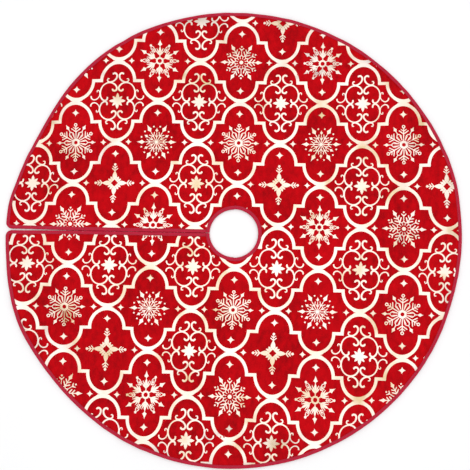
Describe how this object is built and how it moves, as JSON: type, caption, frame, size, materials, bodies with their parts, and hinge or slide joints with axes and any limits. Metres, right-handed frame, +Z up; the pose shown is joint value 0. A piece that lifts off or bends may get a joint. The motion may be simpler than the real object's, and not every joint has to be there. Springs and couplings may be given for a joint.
{
  "type": "tree skirt",
  "caption": "Round cloth tree skirt with a radial slit, foil scroll and snowflake print, tape-bound edges and closure tabs under the slit.",
  "frame": {"origin": "centre of the round, on the surface that the skirt lies on", "axes": "+Z up out of the printed face, -X along the slit from the centre hole to the hem, flap beside the slit on the +Y side"},
  "size_m": [1.2197, 1.22, 0.0065],
  "materials": {
    "face_cloth": "matte",
    "foil_print": "satin",
    "lining_cloth": "matte",
    "binding_tape": "satin",
    "thread": "satin",
    "hook_tape": "satin",
    "loop_tape": "matte",
    "label_tape": "satin"
  },
  "bodies": {
    "skirt": {"face_main": "face_cloth", "lining_main": "lining_cloth", "edge_binding_main": "binding_tape", "neck_binding_main": "binding_tape", "edge_stitching_main": "thread", "neck_stitching_main": "thread", "care_label": "label_tape"},
    "flap": {"face_flap": "face_cloth", "lining_flap": "lining_cloth", "edge_binding_flap": "binding_tape", "neck_binding_flap": "binding_tape", "edge_stitching_flap": "thread", "neck_stitching_flap": "thread", "loop_patch_1": "loop_tape", "loop_patch_2": "loop_tape", "loop_patch_3": "loop_tape"},
    "tab_1": {"closure_tab_1": "binding_tape", "hook_patch_1": "hook_tape"},
    "tab_2": {"closure_tab_2": "binding_tape", "hook_patch_2": "hook_tape"},
    "tab_3": {"closure_tab_3": "binding_tape", "hook_patch_3": "hook_tape"}
  },
  "joints": [
    {"name": "flap_lift", "type": "hinge", "parent": "skirt", "child": "flap", "pos_m": [0, 0, 0.007], "axis": [-0.766, 0.6428, 0], "range_deg": [0, 160]},
    {"name": "tab_swing_1", "type": "hinge", "parent": "skirt", "child": "tab_1", "pos_m": [-0.115, -0.014, 0.00095], "axis": [-1, 0, 0], "range_deg": [0, 170]},
    {"name": "tab_swing_2", "type": "hinge", "parent": "skirt", "child": "tab_2", "pos_m": [-0.24, -0.014, 0.00095], "axis": [-1, 0, 0], "range_deg": [0, 170]},
    {"name": "tab_swing_3", "type": "hinge", "parent": "skirt", "child": "tab_3", "pos_m": [-0.365, -0.014, 0.00095], "axis": [-1, 0, 0], "range_deg": [0, 170]}
  ]
}
